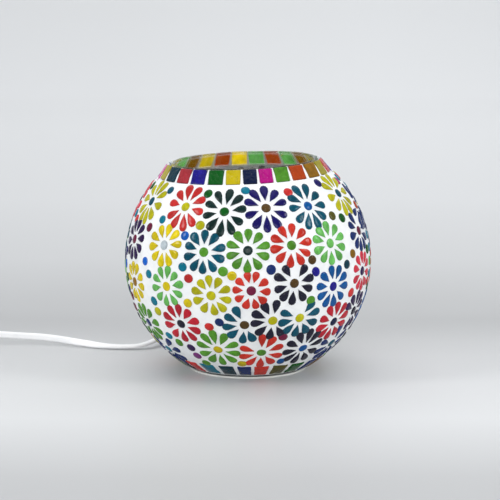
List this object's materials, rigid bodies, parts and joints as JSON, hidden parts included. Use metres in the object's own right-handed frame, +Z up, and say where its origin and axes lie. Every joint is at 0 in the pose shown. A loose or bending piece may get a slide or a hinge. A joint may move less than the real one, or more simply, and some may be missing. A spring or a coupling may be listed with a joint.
{
  "type": "mosaic glass table lamp",
  "caption": "Squat clear glass globe lamp with an open mouth, covered in white grout, square rim and foot tiles and coloured blossom tesserae, with lampholder, bulb, flat flex, switch and plug.",
  "frame": {"origin": "centre of the base plate's underside, on the surface the lamp stands on", "axes": "+Z up through the globe; the front faces -Y; the lead leaves the back, +Y, and lies off to -X"},
  "size_m": [0.4518, 0.2209, 0.1565],
  "materials": {
    "white_paint": "satin white enamel",
    "dark_seal": "matt dark rubber",
    "clear_glass": "clear blown glass with a faint green tint in the cut edge",
    "grout": "matt white grout, slightly granular",
    "steel": "zinc-plated steel",
    "brass": "satin brass",
    "holder_plastic": "moulded cream thermoset",
    "ceramic": "steatite, unglazed",
    "opal_glass": "opal white glass",
    "black_glass": "black insulating glass",
    "white_rubber": "soft white rubber",
    "flex": "soft white PVC, satin",
    "white_plastic": "moulded white plastic, satin",
    "glass_red": "red stained glass, glossy, slightly wavy",
    "glass_brick": "brick stained glass, glossy, slightly wavy",
    "glass_dusty_red": "dusty red stained glass, glossy, slightly wavy",
    "glass_orange_brown": "orange brown stained glass, glossy, slightly wavy",
    "glass_amber": "amber stained glass, glossy, slightly wavy",
    "glass_ochre": "ochre stained glass, glossy, slightly wavy",
    "glass_yellow": "yellow stained glass, glossy, slightly wavy",
    "glass_olive": "olive stained glass, glossy, slightly wavy",
    "glass_light_green": "light green stained glass, glossy, slightly wavy",
    "glass_mid_green": "mid green stained glass, glossy, slightly wavy",
    "glass_dark_green": "dark green stained glass, glossy, slightly wavy",
    "glass_teal": "teal stained glass, glossy, slightly wavy",
    "glass_royal_blue": "royal blue stained glass, glossy, slightly wavy",
    "glass_navy": "navy stained glass, glossy, slightly wavy",
    "glass_magenta": "magenta stained glass, glossy, slightly wavy"
  },
  "bodies": {
    "lamp": {"base_plate": "white_paint", "base_gasket": "dark_seal", "hollow_stud": "steel", "glass_globe": "clear_glass", "mosaic_field": "grout", "rim_tile_01": "glass_olive", "rim_tile_02": "glass_teal", "rim_tile_03": "glass_dusty_red", "rim_tile_04": "glass_royal_blue", "rim_tile_05": "glass_dark_green", "rim_tile_06": "glass_ochre", "rim_tile_07": "glass_navy", "rim_tile_08": "glass_magenta", "rim_tile_09": "glass_mid_green", "rim_tile_10": "glass_brick", "rim_tile_11": "glass_amber", "rim_tile_12": "glass_olive", "rim_tile_13": "glass_red", "rim_tile_14": "glass_royal_blue", "rim_tile_15": "glass_dark_green", "rim_tile_16": "glass_olive", "rim_tile_17": "glass_amber", "rim_tile_18": "glass_light_green", "rim_tile_19": "glass_orange_brown", "rim_tile_20": "glass_light_green", "rim_tile_21": "glass_yellow", "rim_tile_22": "glass_orange_brown", "rim_tile_23": "glass_yellow", "rim_tile_24": "glass_amber", "rim_tile_25": "glass_light_green", "rim_tile_26": "glass_ochre", "rim_tile_27": "glass_teal", "rim_tile_28": "glass_magenta", "seal_washer": "dark_seal", "clamp_washer": "steel", "clamp_nut": "steel", "holder_base": "holder_plastic", "holder_core": "ceramic", "centre_contact": "brass", "screw_shell": "brass", "holder_sleeve": "holder_plastic", "terminal_screw_line": "brass", "terminal_screw_neutral": "brass", "cord_grommet": "white_rubber", "cord_inner": "flex", "cord_run": "flex", "cord_link": "flex", "cord_coil": "flex", "switch_base": "white_plastic", "switch_cover": "white_plastic", "switch_screw_1": "steel", "switch_screw_2": "steel", "plug_body": "white_plastic", "plug_pin_line": "brass", "plug_pin_neutral": "brass"},
    "bulb": {"bulb_tip": "steel", "bulb_insulator": "black_glass", "bulb_cap": "steel", "bulb_glass": "opal_glass"},
    "rocker": {"switch_rocker": "white_plastic"}
  },
  "joints": [
    {"name": "bulb_lift", "type": "slide", "parent": "lamp", "child": "bulb", "axis": [0, 0, 1], "range_m": [0, 0.012]},
    {"name": "rocker_press", "type": "hinge", "parent": "lamp", "child": "rocker", "pos_m": [-0.243, 0.0791, 0.0141], "axis": [0, -1, 0], "range_deg": [0, 24]}
  ]
}
